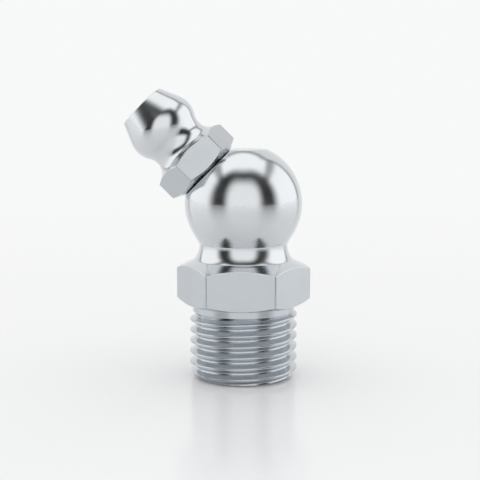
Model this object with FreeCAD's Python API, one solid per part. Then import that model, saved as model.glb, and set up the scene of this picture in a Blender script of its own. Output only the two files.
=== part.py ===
import FreeCAD, Part

import math
import os

# Angled grease nipple, sizes in millimetres and degrees.
# The origin is the middle of the threaded end, +Z runs up the shank through the hexagon
# and the ball, and the nipple head leans from the ball towards -X.

# Shank: one-start right-hand thread on a solid core, ending in a short plain collar that stands
# a step over the thread's root
THREAD_DIAMETER = 9.97
THREAD_PITCH = 1.0
THREAD_DEPTH = 0.585
THREAD_CREST_WIDTH = 0.14
THREAD_FLANK_ANGLE = 30.0
THREAD_LENGTH = 5.95
THREAD_START_ANGLE = 32.0
LEAD_IN_ANGLE = 45.0
LEAD_IN_WIDTH = 0.655
COLLAR_STEP = 0.30
COLLAR_LENGTH = 0.95

# Wrench hexagon, its six corners turned off by a cone at each end
HEX_ACROSS_FLATS = 10.76
HEX_CORNER_ROUNDING = 0.12
HEX_CORNER_LENGTH = 2.81
HEX_CHAMFER_WIDTH = 1.01
HEX_LOWER_CONE_ANGLE = 25.0
HEX_UPPER_CONE_ANGLE = 26.5

# Neck between hexagon and ball: a straight flank off the ball, then two arcs, the lower one
# ending on the hexagon's upper cone a step wider than the neck
NECK_DEPTH = 1.285
NECK_FLANK_ANGLE = 27.5
NECK_UPPER_RADIUS = 0.86
NECK_FOOT_STEP = 0.50
NECK_FOOT_FILLET = 0.35
NECK_RISE = 1.222

# Ball, faced off a little on top where it was cut off the bar
BALL_DIAMETER = 10.80
TOP_FACING = 0.45
TOP_FLAT_ROUNDING = 0.30

# Head axis: it crosses the shank's axis a little below the ball's centre, and the nipple's seat
# is spot-faced square to it, so deep under the ball's skin
LEAN_ANGLE = 45.0
HEAD_AXIS_DROP = 0.47
SPOT_FACE_DEPTH = 1.142

# Grease way through the body
BORE_DIAMETER = 4.20
BORE_MOUTH_CHAMFER = 0.30
DRILL_POINT_ANGLE = 118.0
BORE_OVERRUN = 0.60
SOCKET_EXTRA_DEPTH = 0.45

# Nipple: spigot, small hexagon, neck and rounded coupler head
SPIGOT_DIAMETER = 5.50
SPIGOT_LENGTH = 4.80
SPIGOT_CHAMFER = 0.40
SPIGOT_CLEARANCE = 0.05
SMALL_HEX_ACROSS_FLATS = 6.87
SMALL_HEX_CORNER_ROUNDING = 0.08
SMALL_HEX_CORNER_LENGTH = 1.74
SMALL_HEX_CHAMFER_WIDTH = 0.99
SMALL_HEX_CONE_ANGLE = 32.0
SMALL_HEX_TURN = 12.0
HEAD_NECK_DEPTH = 0.60
HEAD_NECK_LOWER_RADIUS = 1.222
HEAD_NECK_UPPER_RADIUS = 1.586
HEAD_DIAMETER = 6.56
HEAD_RADIUS = 2.25
HEAD_FRONT_ANGLE = 23.5
HEAD_FRONT_LENGTH = 2.69
TIP_CHAMFER = 0.08

# Valve in the head: a ball held against a conical seat by a compression spring
MOUTH_DIAMETER = 1.70
MOUTH_LIP = 0.28
MOUTH_CHAMFER = 0.10
VALVE_SEAT_ANGLE = 45.0
CHECK_BALL_DIAMETER = 2.50
CHECK_BALL_CLEARANCE = 0.10
CHECK_BALL_TRAVEL = 2.00
SEAT_CLEARANCE = 0.02
SPRING_STEP_WIDTH = 0.55
SPRING_WIRE_DIAMETER = 0.30
SPRING_SIDE_CLEARANCE = 0.15
SPRING_ACTIVE_TURNS = 3
SPRING_CLOSED_TURNS = 1
SPRING_CLEARANCE = 0.03
SPRING_POINTS_PER_TURN = 12
SPRING_WIRE_SIDES = 8

# Tools run this far past the faces that they cut, and fused pieces this far into each other
OVERCUT = 1.0
EMBED = 0.1

ORIGIN = FreeCAD.Vector(0, 0, 0)
UP = FreeCAD.Vector(0, 0, 1)


def tangent(angle):
    return math.tan(math.radians(angle))


def sine(angle):
    return math.sin(math.radians(angle))


def cosine(angle):
    return math.cos(math.radians(angle))


def across_corners(across_flats):
    return across_flats / cosine(30)


# Heights and radii that follow from the sizes above
CREST_RADIUS = THREAD_DIAMETER / 2
ROOT_RADIUS = CREST_RADIUS - THREAD_DEPTH
CORE_RADIUS = ROOT_RADIUS - EMBED
FOOT_RADIUS = CREST_RADIUS - LEAD_IN_WIDTH
COLLAR_RADIUS = ROOT_RADIUS + COLLAR_STEP
SHANK_LENGTH = THREAD_LENGTH + COLLAR_LENGTH
HEX_CORNER_RADIUS = across_corners(HEX_ACROSS_FLATS) / 2
HEX_SEAT_RADIUS = HEX_CORNER_RADIUS - HEX_CHAMFER_WIDTH
HEX_LOW_CORNER = SHANK_LENGTH + HEX_CHAMFER_WIDTH * tangent(HEX_LOWER_CONE_ANGLE)
HEX_HIGH_CORNER = HEX_LOW_CORNER + HEX_CORNER_LENGTH

# The neck's foot on the hexagon's cone, its narrowest place, the top of its flank and the ball
BALL_RADIUS = BALL_DIAMETER / 2
NECK_RADIUS = BALL_RADIUS - NECK_DEPTH
NECK_FOOT_RADIUS = NECK_RADIUS + NECK_FOOT_STEP
NECK_FOOT_HEIGHT = HEX_HIGH_CORNER + (HEX_CORNER_RADIUS - NECK_FOOT_RADIUS) * tangent(HEX_UPPER_CONE_ANGLE)
NECK_HEIGHT = NECK_FOOT_HEIGHT + NECK_RISE
FLANK_TOP_RADIUS = BALL_RADIUS * cosine(NECK_FLANK_ANGLE)
FLANK_TOP_HEIGHT = (
    NECK_HEIGHT + NECK_UPPER_RADIUS * tangent(NECK_FLANK_ANGLE / 2)
    + (FLANK_TOP_RADIUS - NECK_RADIUS) / tangent(NECK_FLANK_ANGLE)
)
BALL_CENTRE_HEIGHT = FLANK_TOP_HEIGHT + BALL_RADIUS * sine(NECK_FLANK_ANGLE)
TOP_HEIGHT = BALL_CENTRE_HEIGHT + BALL_RADIUS - TOP_FACING

# The crossing of the axes, the seat's distance from it and the socket under the seat
AXES_CROSSING_HEIGHT = BALL_CENTRE_HEIGHT - HEAD_AXIS_DROP
SKIN_DISTANCE = HEAD_AXIS_DROP * cosine(LEAN_ANGLE) + math.sqrt(
    BALL_RADIUS**2 - (HEAD_AXIS_DROP * sine(LEAN_ANGLE)) ** 2
)
SEAT_DISTANCE = SKIN_DISTANCE - SPOT_FACE_DEPTH
SPIGOT_RADIUS = SPIGOT_DIAMETER / 2
SOCKET_RADIUS = SPIGOT_RADIUS + SPIGOT_CLEARANCE
SOCKET_DEPTH = SPIGOT_LENGTH + SOCKET_EXTRA_DEPTH

# Stations of the nipple's outside along the head axis, counted from the seat face on the ball
SMALL_HEX_SLOPE = tangent(SMALL_HEX_CONE_ANGLE)
SMALL_HEX_CORNER_RADIUS = across_corners(SMALL_HEX_ACROSS_FLATS) / 2
SMALL_HEX_SEAT_RADIUS = SMALL_HEX_CORNER_RADIUS - SMALL_HEX_CHAMFER_WIDTH
SMALL_HEX_APEX = (
    SMALL_HEX_CORNER_LENGTH + (SMALL_HEX_CHAMFER_WIDTH + SMALL_HEX_CORNER_RADIUS) * SMALL_HEX_SLOPE
)
HEAD_NECK_RADIUS = HEAD_DIAMETER / 2 - HEAD_NECK_DEPTH
HEAD_NECK_HEIGHT = (
    SMALL_HEX_APEX - HEAD_NECK_RADIUS * SMALL_HEX_SLOPE
    + HEAD_NECK_LOWER_RADIUS * (1 / cosine(SMALL_HEX_CONE_ANGLE) - SMALL_HEX_SLOPE)
)
HEAD_WIDEST_HEIGHT = HEAD_NECK_HEIGHT + math.sqrt(
    (HEAD_RADIUS + HEAD_NECK_UPPER_RADIUS) ** 2
    - (HEAD_RADIUS + HEAD_NECK_UPPER_RADIUS - HEAD_NECK_DEPTH) ** 2
)
HEAD_HEIGHT = HEAD_WIDEST_HEIGHT + HEAD_FRONT_LENGTH

# Valve stations along the head axis, counted from the seat face on the ball
CHECK_BALL_RADIUS = CHECK_BALL_DIAMETER / 2
VALVE_BORE_RADIUS = CHECK_BALL_RADIUS + CHECK_BALL_CLEARANCE
MOUTH_RADIUS = MOUTH_DIAMETER / 2
VALVE_SEAT_TOP = HEAD_HEIGHT - MOUTH_LIP
VALVE_SEAT_FOOT = VALVE_SEAT_TOP - (VALVE_BORE_RADIUS - MOUTH_RADIUS) / tangent(VALVE_SEAT_ANGLE)
CHECK_BALL_HEIGHT = (
    VALVE_SEAT_TOP + MOUTH_RADIUS / tangent(VALVE_SEAT_ANGLE)
    - (CHECK_BALL_RADIUS + SEAT_CLEARANCE) / sine(VALVE_SEAT_ANGLE)
)
SPRING_WIRE_RADIUS = SPRING_WIRE_DIAMETER / 2
SPRING_COIL_RADIUS = VALVE_BORE_RADIUS - SPRING_SIDE_CLEARANCE - SPRING_WIRE_RADIUS
PASSAGE_RADIUS = VALVE_BORE_RADIUS - SPRING_STEP_WIDTH
SPRING_TURNS = SPRING_ACTIVE_TURNS + 2 * SPRING_CLOSED_TURNS
SPRING_SOLID_RISE = SPRING_TURNS * (SPRING_WIRE_DIAMETER + SPRING_CLEARANCE)
SPRING_TOP = CHECK_BALL_HEIGHT - math.sqrt(
    (CHECK_BALL_RADIUS + SPRING_WIRE_RADIUS + SPRING_CLEARANCE) ** 2 - SPRING_COIL_RADIUS**2
)
SPRING_FOOT = SPRING_TOP - SPRING_SOLID_RISE - CHECK_BALL_TRAVEL
SPRING_STEP_HEIGHT = SPRING_FOOT - SPRING_WIRE_RADIUS


def point(radius, height):
    return FreeCAD.Vector(radius, 0, height)


def revolved(edges):
    """A solid of revolution about Z from the edges of a closed half section."""
    section = Part.Face(Part.Wire(edges))
    return section.revolve(ORIGIN, UP, 360)


def revolved_outline(corners):
    """A solid of revolution from a straight-sided half section, given as (radius, height) corners."""
    outline = [point(*corner) for corner in corners]
    return revolved(Part.makePolygon(outline + outline[:1]).Edges)


def arc(centre, radius, start_angle, end_angle):
    """An arc of the half section, as its edge and its two ends, with angles from +X towards +Z."""
    def at(angle):
        return point(centre[0] + radius * cosine(angle), centre[1] + radius * sine(angle))

    middle_angle = (start_angle + end_angle) / 2
    edge = Part.Arc(at(start_angle), at(middle_angle), at(end_angle)).toShape()
    return edge, at(start_angle), at(end_angle)


def line(start, end):
    return Part.LineSegment(start, end).toShape()


def hexagon_prism(across_flats, low, high, corner_rounding):
    """A hexagonal prism about Z with two flats square to Y and rounded corners."""
    radius = across_corners(across_flats) / 2
    corners = [point(radius * cosine(60 * k), low) + FreeCAD.Vector(0, radius * sine(60 * k), 0)
               for k in range(6)]
    base = Part.Face(Part.makePolygon(corners + corners[:1]))
    prism = base.extrude(FreeCAD.Vector(0, 0, high - low))
    upright = [e for e in prism.Edges if abs(e.Vertexes[0].Z - e.Vertexes[1].Z) > (high - low) / 2]
    return prism.makeFillet(corner_rounding, upright)


def outside_hexagon(across_flats, low, high, corner_rounding):
    """What a milling cutter takes away round a hexagon between two heights."""
    stock = Part.makeCylinder(across_flats, high - low, point(0, low))
    prism = hexagon_prism(across_flats, low - OVERCUT, high + OVERCUT, corner_rounding)
    return stock.cut(prism)


def drilled_hole(radius, low, high, point_angle):
    """A drilled hole about Z, flat at its mouth below and with a drill point at its blind end above."""
    tip = high + radius / tangent(point_angle / 2)
    return revolved_outline([(0, low), (radius, low), (radius, high), (0, tip)])


def on_head_axis(shape):
    """Move a shape that was made along +Z above z = 0 onto the leaning head axis, on the ball's seat face."""
    placed = shape.copy()
    placed.rotate(ORIGIN, FreeCAD.Vector(0, 1, 0), -LEAN_ANGLE)
    placed.translate(FreeCAD.Vector(
        -SEAT_DISTANCE * sine(LEAN_ANGLE), 0, AXES_CROSSING_HEIGHT + SEAT_DISTANCE * cosine(LEAN_ANGLE)))
    return placed


def thread_envelope():
    """The shank before its thread is cut: foot face, lead-in cone, crest cylinder and run-out cone."""
    crest_start = LEAD_IN_WIDTH * tangent(LEAD_IN_ANGLE)
    run_out_top = THREAD_LENGTH + CREST_RADIUS - CORE_RADIUS
    return revolved_outline([
        (0, 0), (FOOT_RADIUS, 0), (CREST_RADIUS, crest_start), (CREST_RADIUS, THREAD_LENGTH),
        (CORE_RADIUS, run_out_top), (0, run_out_top)])


def thread_groove():
    """The helical groove between the crests, a little wider and longer than the thread it cuts."""
    over = EMBED * THREAD_PITCH
    outer = CREST_RADIUS + over
    half_gap = (THREAD_PITCH - THREAD_CREST_WIDTH) / 2
    root_half = half_gap - THREAD_DEPTH * tangent(THREAD_FLANK_ANGLE)
    outer_half = half_gap + over * tangent(THREAD_FLANK_ANGLE)
    corners = [point(ROOT_RADIUS, -root_half), point(outer, -outer_half),
               point(outer, outer_half), point(ROOT_RADIUS, root_half)]
    profile = Part.makePolygon(corners + corners[:1])
    turns = math.ceil((THREAD_LENGTH + THREAD_DEPTH) / THREAD_PITCH) + 2
    one_turn = Part.makeHelix(THREAD_PITCH, THREAD_PITCH, ROOT_RADIUS)
    path = [one_turn.translated(point(0, k * THREAD_PITCH)).Edges[0] for k in range(turns)]
    groove = Part.Wire(path).makePipeShell([profile], True, True)
    groove.rotate(ORIGIN, UP, THREAD_START_ANGLE)
    groove.translate(point(0, -1.5 * THREAD_PITCH))
    return groove


def threaded_shank():
    """The shank with its helical thread."""
    return thread_envelope().cut(thread_groove())


def turned_body():
    """The body's turned outside from the collar to the flat on the ball, before the hexagon is milled."""
    bar_radius = HEX_CORNER_RADIUS + HEX_CORNER_ROUNDING
    low_corner = HEX_LOW_CORNER + HEX_CORNER_ROUNDING * tangent(HEX_LOWER_CONE_ANGLE)
    high_corner = HEX_HIGH_CORNER - HEX_CORNER_ROUNDING * tangent(HEX_UPPER_CONE_ANGLE)
    foot = point(NECK_FOOT_RADIUS, NECK_FOOT_HEIGHT)

    # the lower arc runs from the foot to the neck's narrowest place and is upright there
    lower_radius = (NECK_FOOT_STEP**2 + NECK_RISE**2) / (2 * NECK_FOOT_STEP)
    lower_centre = (NECK_RADIUS + lower_radius, NECK_HEIGHT)
    foot_angle = math.degrees(math.atan2(foot.z - NECK_HEIGHT, foot.x - lower_centre[0])) % 360
    lower, _, _ = arc(lower_centre, lower_radius, foot_angle, 180)
    upper_centre = (NECK_RADIUS + NECK_UPPER_RADIUS, NECK_HEIGHT)
    upper, _, upper_end = arc(upper_centre, NECK_UPPER_RADIUS, 180, 180 - NECK_FLANK_ANGLE)
    flat_angle = math.degrees(math.asin(1 - TOP_FACING / BALL_RADIUS))
    ball, flank_top, flat_rim = arc((0, BALL_CENTRE_HEIGHT), BALL_RADIUS, -NECK_FLANK_ANGLE, flat_angle)

    start = point(0, THREAD_LENGTH - EMBED)
    corners = [start, point(CORE_RADIUS, THREAD_LENGTH - EMBED),
               point(COLLAR_RADIUS, THREAD_LENGTH + COLLAR_STEP), point(COLLAR_RADIUS, SHANK_LENGTH),
               point(HEX_SEAT_RADIUS, SHANK_LENGTH), point(bar_radius, low_corner),
               point(bar_radius, high_corner), foot]
    edges = [line(p, q) for p, q in zip(corners, corners[1:])]
    edges += [lower, upper, line(upper_end, flank_top), ball]
    edges += [line(flat_rim, point(0, TOP_HEIGHT)), line(point(0, TOP_HEIGHT), start)]
    blank = revolved(edges)

    neck_foot = [e for e in blank.Edges if e.isClosed() and abs(e.BoundBox.ZMax - foot.z) < 1e-6]
    top_rim = [e for e in blank.Edges if e.isClosed() and abs(e.BoundBox.ZMin - TOP_HEIGHT) < 1e-6]
    return blank.makeFillet(NECK_FOOT_FILLET, neck_foot).makeFillet(TOP_FLAT_ROUNDING, top_rim)


def head_socket():
    """The angled hole for the nipple's spigot and the flat that is spot-faced round its mouth."""
    hole = drilled_hole(SOCKET_RADIUS, 0, SOCKET_DEPTH, DRILL_POINT_ANGLE)
    hole.rotate(ORIGIN, FreeCAD.Vector(1, 0, 0), 180)
    spot_face = Part.makeCylinder(BALL_RADIUS, BALL_RADIUS)
    return on_head_axis(hole.fuse(spot_face))


def grease_bore():
    """The straight bore up the shank, which breaks into the angled hole inside the ball."""
    radius = BORE_DIAMETER / 2
    hole = drilled_hole(radius, -OVERCUT, AXES_CROSSING_HEIGHT - BORE_OVERRUN, DRILL_POINT_ANGLE)
    mouth = revolved_outline([
        (0, -OVERCUT), (radius + BORE_MOUTH_CHAMFER + OVERCUT, -OVERCUT), (radius, BORE_MOUTH_CHAMFER),
        (0, BORE_MOUTH_CHAMFER)])
    return hole.fuse(mouth)


def body():
    """Threaded shank, hexagon, neck and ball in one piece of steel, drilled from both ends."""
    milled = turned_body().cut(outside_hexagon(
        HEX_ACROSS_FLATS, SHANK_LENGTH, NECK_HEIGHT, HEX_CORNER_ROUNDING))
    whole = milled.fuse(threaded_shank())
    return whole.cut(head_socket().fuse(grease_bore())).removeSplitter()


def turned_nipple():
    """The nipple's turned outside along +Z, with z = 0 at its seat face on the ball."""
    bar_radius = SMALL_HEX_CORNER_RADIUS + SMALL_HEX_CORNER_ROUNDING
    low_corner = (bar_radius - SMALL_HEX_SEAT_RADIUS) * SMALL_HEX_SLOPE
    high_corner = SMALL_HEX_APEX - bar_radius * SMALL_HEX_SLOPE

    # the lower neck arc touches the hexagon's cone, the upper one touches the head's arc
    lower_centre = (HEAD_NECK_RADIUS + HEAD_NECK_LOWER_RADIUS, HEAD_NECK_HEIGHT)
    lower, lower_start, _ = arc(lower_centre, HEAD_NECK_LOWER_RADIUS, 270 - SMALL_HEX_CONE_ANGLE, 180)
    upper_centre = (HEAD_NECK_RADIUS + HEAD_NECK_UPPER_RADIUS, HEAD_NECK_HEIGHT)
    head_centre = (HEAD_DIAMETER / 2 - HEAD_RADIUS, HEAD_WIDEST_HEIGHT)
    join_angle = math.degrees(math.atan2(
        HEAD_WIDEST_HEIGHT - HEAD_NECK_HEIGHT, upper_centre[0] - head_centre[0]))
    upper, _, _ = arc(upper_centre, HEAD_NECK_UPPER_RADIUS, 180, 180 - join_angle)
    head, _, head_end = arc(head_centre, HEAD_RADIUS, -join_angle, HEAD_FRONT_ANGLE)
    tip_radius = head_end.x - (HEAD_HEIGHT - head_end.z) * tangent(HEAD_FRONT_ANGLE)

    start = point(0, -SPIGOT_LENGTH)
    corners = [start, point(SPIGOT_RADIUS - SPIGOT_CHAMFER, -SPIGOT_LENGTH),
               point(SPIGOT_RADIUS, SPIGOT_CHAMFER - SPIGOT_LENGTH), point(SPIGOT_RADIUS, 0),
               point(SMALL_HEX_SEAT_RADIUS, 0), point(bar_radius, low_corner),
               point(bar_radius, high_corner), lower_start]
    edges = [line(p, q) for p, q in zip(corners, corners[1:])]
    edges += [lower, upper, head, line(head_end, point(tip_radius, HEAD_HEIGHT))]
    edges += [line(point(tip_radius, HEAD_HEIGHT), point(0, HEAD_HEIGHT)),
              line(point(0, HEAD_HEIGHT), start)]
    blank = revolved(edges)
    tip_rim = [e for e in blank.Edges if e.isClosed() and abs(e.BoundBox.ZMin - HEAD_HEIGHT) < 1e-6]
    return blank.makeChamfer(TIP_CHAMFER, tip_rim)


def valve_bore():
    """The stepped bore of the valve: passage, spring step, ball bore, conical seat and mouth."""
    flare = MOUTH_RADIUS + MOUTH_CHAMFER
    return revolved_outline([
        (0, -SPIGOT_LENGTH - OVERCUT), (PASSAGE_RADIUS, -SPIGOT_LENGTH - OVERCUT),
        (PASSAGE_RADIUS, SPRING_STEP_HEIGHT), (VALVE_BORE_RADIUS, SPRING_STEP_HEIGHT),
        (VALVE_BORE_RADIUS, VALVE_SEAT_FOOT), (MOUTH_RADIUS, VALVE_SEAT_TOP),
        (MOUTH_RADIUS, HEAD_HEIGHT - MOUTH_CHAMFER), (flare, HEAD_HEIGHT),
        (flare, HEAD_HEIGHT + OVERCUT), (0, HEAD_HEIGHT + OVERCUT)])


def nipple():
    """The straight nipple that is screwed into the ball, with its own small hexagon and coupler head."""
    milled = turned_nipple().cut(outside_hexagon(
        SMALL_HEX_ACROSS_FLATS, 0, HEAD_NECK_HEIGHT, SMALL_HEX_CORNER_ROUNDING))
    bored = milled.cut(valve_bore())
    bored.rotate(ORIGIN, UP, SMALL_HEX_TURN)
    return on_head_axis(bored)


def check_ball():
    """The steel ball that closes the nipple's mouth, at rest on its conical seat."""
    return on_head_axis(Part.makeSphere(CHECK_BALL_RADIUS, point(0, CHECK_BALL_HEIGHT)))


def spring_rise(turn):
    """Height of the wire's middle above the spring's foot after so many turns, closed at both ends."""
    closed_pitch = SPRING_WIRE_DIAMETER + SPRING_CLEARANCE
    open_rise = SPRING_TOP - SPRING_FOOT - 2 * SPRING_CLOSED_TURNS * closed_pitch
    open_turns = min(max(turn - SPRING_CLOSED_TURNS, 0), SPRING_ACTIVE_TURNS)
    return (turn - open_turns) * closed_pitch + open_turns * open_rise / SPRING_ACTIVE_TURNS


def check_spring():
    """The compression spring between the step in the bore and the ball, its round wire in flats."""
    steps = SPRING_TURNS * SPRING_POINTS_PER_TURN
    path = []
    for step in range(steps + 1):
        turn = step / SPRING_POINTS_PER_TURN
        around = FreeCAD.Rotation(UP, 360 * turn).multVec(point(SPRING_COIL_RADIUS, 0))
        path.append(around + point(0, SPRING_FOOT + spring_rise(turn)))
    curve = Part.BSplineCurve()
    curve.interpolate(path)
    spine = Part.Wire(curve.toShape())
    wire = Part.makeCircle(SPRING_WIRE_RADIUS, path[0], curve.tangent(curve.FirstParameter)[0])
    corners = wire.discretize(SPRING_WIRE_SIDES + 1)
    section = Part.makePolygon(corners[:-1] + corners[:1])
    return on_head_axis(spine.makePipeShell([section], True, True))


def export(shape, node):
    if not shape.isValid() or len(shape.Solids) != 1:
        raise ValueError(f"{node} is not one valid solid")
    shape.Solids[0].exportStep(os.path.join("parts", node + ".step"))
    print(f"{node}: volume {shape.Volume:.2f} mm3, centre {shape.CenterOfGravity}")


def main():
    os.makedirs("parts", exist_ok=True)
    export(body(), "body")
    export(nipple(), "nipple")
    export(check_ball(), "check_ball")
    export(check_spring(), "check_spring")


main()
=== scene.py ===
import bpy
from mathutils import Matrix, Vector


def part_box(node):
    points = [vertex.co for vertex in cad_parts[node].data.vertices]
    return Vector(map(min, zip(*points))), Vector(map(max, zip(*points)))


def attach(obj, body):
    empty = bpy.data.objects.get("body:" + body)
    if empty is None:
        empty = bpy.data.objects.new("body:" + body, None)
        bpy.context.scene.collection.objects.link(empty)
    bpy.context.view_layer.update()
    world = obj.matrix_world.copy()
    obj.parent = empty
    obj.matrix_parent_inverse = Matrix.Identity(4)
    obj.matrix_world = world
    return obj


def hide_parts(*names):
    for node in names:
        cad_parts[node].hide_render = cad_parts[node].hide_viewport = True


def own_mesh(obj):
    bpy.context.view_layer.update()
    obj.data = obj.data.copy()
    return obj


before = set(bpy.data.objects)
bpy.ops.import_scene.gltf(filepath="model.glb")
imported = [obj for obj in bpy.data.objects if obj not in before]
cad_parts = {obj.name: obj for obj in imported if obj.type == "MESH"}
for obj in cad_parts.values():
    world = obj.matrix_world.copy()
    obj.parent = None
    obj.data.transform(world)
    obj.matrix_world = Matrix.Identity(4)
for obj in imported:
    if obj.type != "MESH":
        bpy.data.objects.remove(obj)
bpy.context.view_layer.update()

import math

import bmesh
import bpy
from bpy.props import FloatProperty, FloatVectorProperty, IntProperty, PointerProperty
from bpy.types import Operator, Panel, PropertyGroup
from mathutils import Vector

bl_info = {
    "name": "Angled Grease Nipple",
    "version": (1, 0, 0),
    "blender": (4, 5, 0),
    "location": "View3D > Sidebar > Grease Nipple",
    "description": "Builds the finished pieces of a 45 degree grease nipple and its studio stage",
    "category": "Add Mesh",
}

MM = 0.001
WELD = 0.0002 * MM
SLIVER = 0.01 * MM

# Steps and facets of the rounded forms
TURN_STEPS = 192
THREAD_STEPS = 144
DRILL_STEPS = 96
ARC_STEPS = 16
ROUNDING_STEPS = 4
FLANK_STEPS = 7
SPHERE_CUTS = 23
WIRE_SIDES = 12
COIL_STEPS = 24

# Limits that tell flats, corners and edges from the surfaces beside them
SMOOTH_ANGLE = math.radians(35)
MILLED_EDGE_ANGLE = math.radians(20)
SEAT_RIM_ANGLE = math.radians(10)
NONPLANAR_ANGLE = math.radians(3)
FLAT_ALIGNMENT = 0.9999
UPRIGHT = 0.1
CORNER_REACH = 0.54
# Turns from a corner's middle that bound the strips painted with a dark line, a painted reflection
PAINTED_DARK_LINE_TURNS = (math.radians(15), math.radians(27))

# A hexagon's flats are a sixth of a turn apart, the first one half of that from +X
SIXTH_TURN = math.tau / 6

# How far the drill starts over the seat, and how far the shank reaches into the hexagon
DRILL_OVERSHOOT = MM
SHANK_OVERLAP = 0.3 * MM

# The rim of the ball's seat lies at least this far outside of the socket
RIM_MARGIN = 0.225 * MM

# Material slots of the body and the nipple. The third is the body's thread and the nipple's undercut, which
# is painted near black as painted shade; the fourth is the dark line beside the hexagons' corners, a
# painted reflection
MILLED_SLOT = 1
THREAD_SLOT = 2
UNDERCUT_SHADE_SLOT = 2
PAINTED_DARK_LINE_SLOT = 3

# Sizes of the shaders' noise, in features a metre
SMUDGE_SCALE = 420.0
GRAIN_SCALE = 9000.0
CLOUD_SCALE = 300.0
FLOOR_GRAIN_SCALE = 60.0

# Where the noise starts and ends to show, and what it adds at either end
SMUDGE_TONE = (0.45, 0.75, 0.0, 0.12)
SMUDGE_POLISH = (0.35, 0.7, -0.02, 0.04)
CLOUD_TONE = (0.35, 0.7, 0.0, 0.25)
CLOUD_POLISH = (0.3, 0.7, -0.03, 0.03)
FLOOR_TONE = (0.3, 0.7, 0.0, 0.2)

# How dark the smudged, clouded and shaded places are against the plain colour
SMUDGED = 0.82
CLOUDED = 0.9
SHADED = 0.985

# Relief: the share of the even turning wave, the uneven lines in a feed, and the satin grain
WAVE_SHARE = 0.35
UNEVEN_LINES = 1.3
GRAIN_DEPTH = 0.004 * MM
GRAIN_STRENGTH = 0.3

# Where the left side panel runs into the right one, in a direction's sideways part
SIDES_EDGE = (-0.3, 0.3)

# Where the overhead softbox and its seam start and end, in sideways against upward
SOFTBOX_EDGE = (0.60, 0.76)
SEAM_INSIDE = (0.55, 0.72)
SEAM_OUTSIDE = (0.82, 1.15)
SOFTBOX_TAPER = 0.2
LEAST_RISE = 0.02

# Where the backdrop, its gap, the dark board and the window start and end, as shares of their sizes
BACKDROP_EDGE = (1.0, 1.1)
GAP_INSIDE = (0.96, 1.06)
GAP_OUTSIDE = (1.12, 1.26)
BOARD_EDGE = (0.84, 1.18)
WINDOW_EDGE = (0.72, 1.28)

# The power that rounds the corners of the board and the window, two for an ellipse
CORNER_POWER = 4.0

# Refraction of the floor's acrylic board
ACRYLIC_IOR = 1.45

# The camera's sensor in millimetres and its clipping distances in metres
SENSOR_WIDTH = 36.0
CLIP_START = MM
CLIP_END = 20.0


def length(name, millimetres, description):
    return FloatProperty(
        name=name, description=description, default=millimetres * MM, min=0.0, unit="LENGTH", precision=5)


def angle(name, degrees, description):
    return FloatProperty(
        name=name, description=description, default=math.radians(degrees), unit="ROTATION")


def share(name, value, description):
    return FloatProperty(
        name=name, description=description, default=value, min=0.0, max=1.0, subtype="FACTOR")


def level(name, value, description):
    return FloatProperty(name=name, description=description, default=value, min=0.0, soft_max=3.0)


def colour(name, value, description):
    return FloatVectorProperty(
        name=name, description=description, default=value, min=0.0, max=1.0, size=3, subtype="COLOR")


class ShankSizes(PropertyGroup):
    """Sizes of the threaded shank and the grease bore"""

    crest_diameter: length("Crest Diameter", 9.97, "Diameter over the thread's crests")
    pitch: length("Pitch", 1.0, "Rise of the thread in one turn")
    depth: length("Thread Depth", 0.585, "Radial depth of the thread")
    crest_width: length("Crest Width", 0.14, "Width of the thread's crest before rounding")
    crest_rounding: length("Crest Rounding", 0.09, "Rounding of the crest's edges")
    root_rounding: length("Root Rounding", 0.15, "Rounding of the root's corners")
    flank_angle: angle("Flank Angle", 30.0, "Slope of each flank from square to the axis")
    start_angle: angle("Start Angle", 32.0, "Turn of the thread about the shank")
    thread_length: length("Thread Length", 5.95, "Height where the full thread ends")
    foot_diameter: length("Foot Diameter", 8.66, "Outer diameter of the foot face")
    collar_diameter: length("Collar Diameter", 9.40, "Diameter of the plain collar over the thread")
    bore_diameter: length("Bore Diameter", 4.20, "Diameter of the grease bore")
    bore_chamfer: length("Bore Chamfer", 0.30, "Chamfer at the bore's mouth")
    drill_point: angle("Drill Point", 118.0, "Point angle of the drills")
    bore_overrun: length("Bore Stop", 0.60, "How far the bore's straight wall stops below the crossing")


class HexagonSizes(PropertyGroup):
    """Sizes of the wrench hexagon"""

    across_flats: length("Across Flats", 10.76, "Distance between two flats")
    seat_height: length("Seat Height", 6.90, "Height of the hexagon's underside")
    chamfer_width: length("Chamfer Width", 1.01, "How far the lower cone reaches in from the corners")
    corner_length: length("Corner Length", 2.81, "Length of the upright corner edges")
    lower_cone: angle("Lower Cone", 25.0, "Slope of the cone under the corners")
    upper_cone: angle("Upper Cone", 26.5, "Slope of the cone over the corners")
    edge_rounding: length("Edge Rounding", 0.09, "Width broken off the milled edges")


class BallSizes(PropertyGroup):
    """Sizes of the ball and the neck under it"""

    diameter: length("Ball Diameter", 10.80, "Diameter of the ball")
    centre_height: length("Centre Height", 16.20, "Height of the ball's centre")
    top_flat: length("Top Flat", 4.95, "Height of the top flat over the ball's centre")
    top_rounding: length("Top Rounding", 0.30, "Rounding between the ball and its top flat")
    neck_depth: length("Neck Depth", 1.33, "How far the neck is turned in from the ball's radius")
    flank: angle("Neck Flank", 31.0, "Slope of the straight flank under the ball")
    upper_radius: length("Upper Radius", 0.30, "Radius of the neck's upper arc")
    foot_step: length("Foot Step", 0.50, "How much wider the neck's foot is than the neck")
    foot_fillet: length("Foot Fillet", 0.35, "Fillet where the neck meets the hexagon")
    face_rounding: length("Face Rounding", 0.04, "Rounding of the spot face's rim")


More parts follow.
